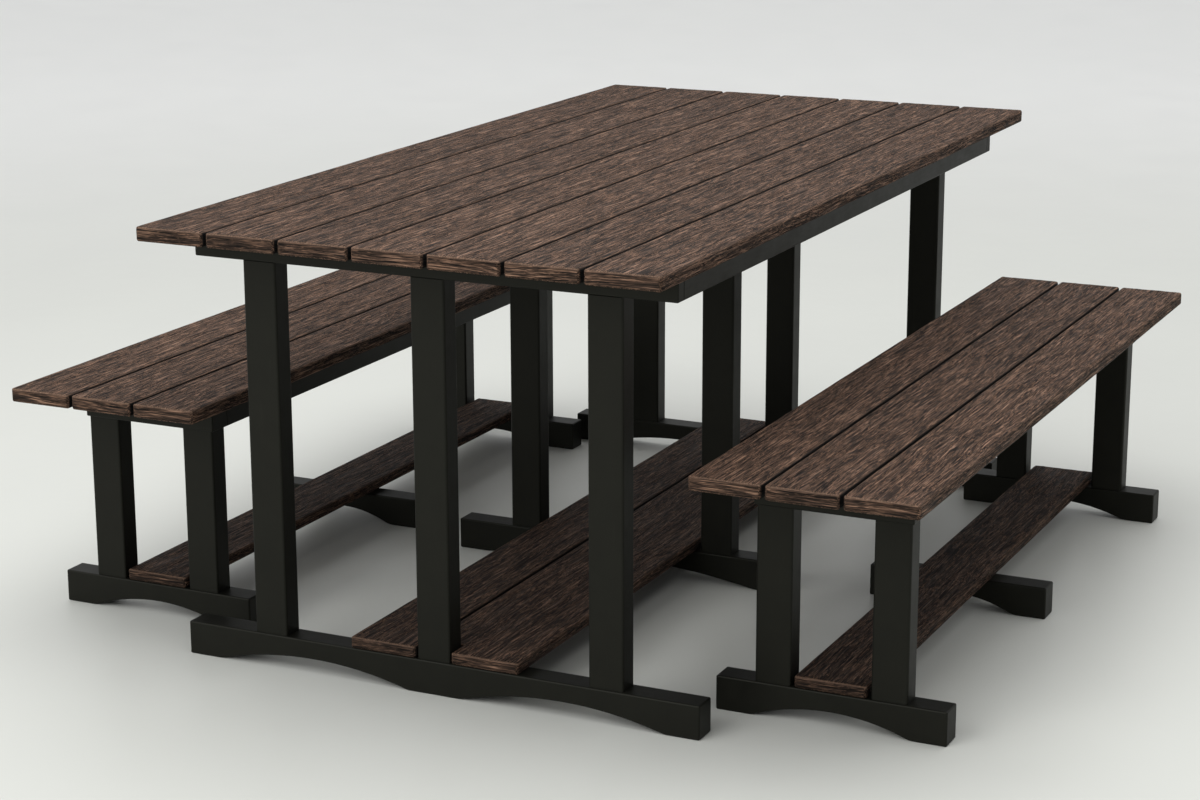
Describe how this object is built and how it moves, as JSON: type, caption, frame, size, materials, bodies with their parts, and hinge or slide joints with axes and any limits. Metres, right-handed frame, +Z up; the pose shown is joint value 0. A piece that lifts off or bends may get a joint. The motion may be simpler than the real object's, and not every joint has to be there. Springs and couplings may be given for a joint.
{
  "type": "picnic table",
  "caption": "Slatted table on arched trestle feet with low shelf boards, and loose matching benches that pull out and push in on either side.",
  "frame": {"origin": "on the floor, under the middle of the table", "axes": "+X across the table towards the right bench, +Y along the boards towards the far end, +Z up"},
  "size_m": [1.632, 1.77, 0.75],
  "materials": {
    "boards": "embossed wood grain, matt, dark brown",
    "frame": "satin charcoal",
    "screws": "plain stainless"
  },
  "bodies": {
    "table": {"far_bearer": "frame", "far_foot": "frame", "far_left_post": "frame", "far_middle_post": "frame", "far_right_post": "frame", "left_shelf_board": "boards", "left_side_rail": "frame", "middle_bearer": "frame", "middle_foot": "frame", "middle_left_post": "frame", "middle_right_post": "frame", "near_bearer": "frame", "near_foot": "frame", "near_left_post": "frame", "near_middle_post": "frame", "near_right_post": "frame", "right_shelf_board": "boards", "right_side_rail": "frame", "table_screws": "screws", "top_board_1": "boards", "top_board_2": "boards", "top_board_3": "boards", "top_board_4": "boards", "top_board_5": "boards", "top_board_6": "boards", "top_board_7": "boards"},
    "left_bench": {"left_bench_batten": "frame", "left_bench_far_bearer": "frame", "left_bench_far_foot": "frame", "left_bench_far_inner_post": "frame", "left_bench_far_outer_post": "frame", "left_bench_inner_rail": "frame", "left_bench_inner_seat_board": "boards", "left_bench_low_board": "boards", "left_bench_middle_foot": "frame", "left_bench_middle_seat_board": "boards", "left_bench_near_bearer": "frame", "left_bench_near_foot": "frame", "left_bench_near_inner_post": "frame", "left_bench_near_outer_post": "frame", "left_bench_outer_rail": "frame", "left_bench_outer_seat_board": "boards", "left_bench_screws": "screws"},
    "right_bench": {"right_bench_batten": "frame", "right_bench_far_bearer": "frame", "right_bench_far_foot": "frame", "right_bench_far_inner_post": "frame", "right_bench_far_outer_post": "frame", "right_bench_inner_rail": "frame", "right_bench_inner_seat_board": "boards", "right_bench_low_board": "boards", "right_bench_middle_foot": "frame", "right_bench_middle_seat_board": "boards", "right_bench_near_bearer": "frame", "right_bench_near_foot": "frame", "right_bench_near_inner_post": "frame", "right_bench_near_outer_post": "frame", "right_bench_outer_rail": "frame", "right_bench_outer_seat_board": "boards", "right_bench_screws": "screws"}
  },
  "joints": [
    {"name": "left_bench_slide", "type": "slide", "parent": "table", "child": "left_bench", "axis": [-1, 0, 0], "range_m": [-0.1, 0.3]},
    {"name": "right_bench_slide", "type": "slide", "parent": "table", "child": "right_bench", "axis": [1, 0, 0], "range_m": [-0.1, 0.3]}
  ]
}
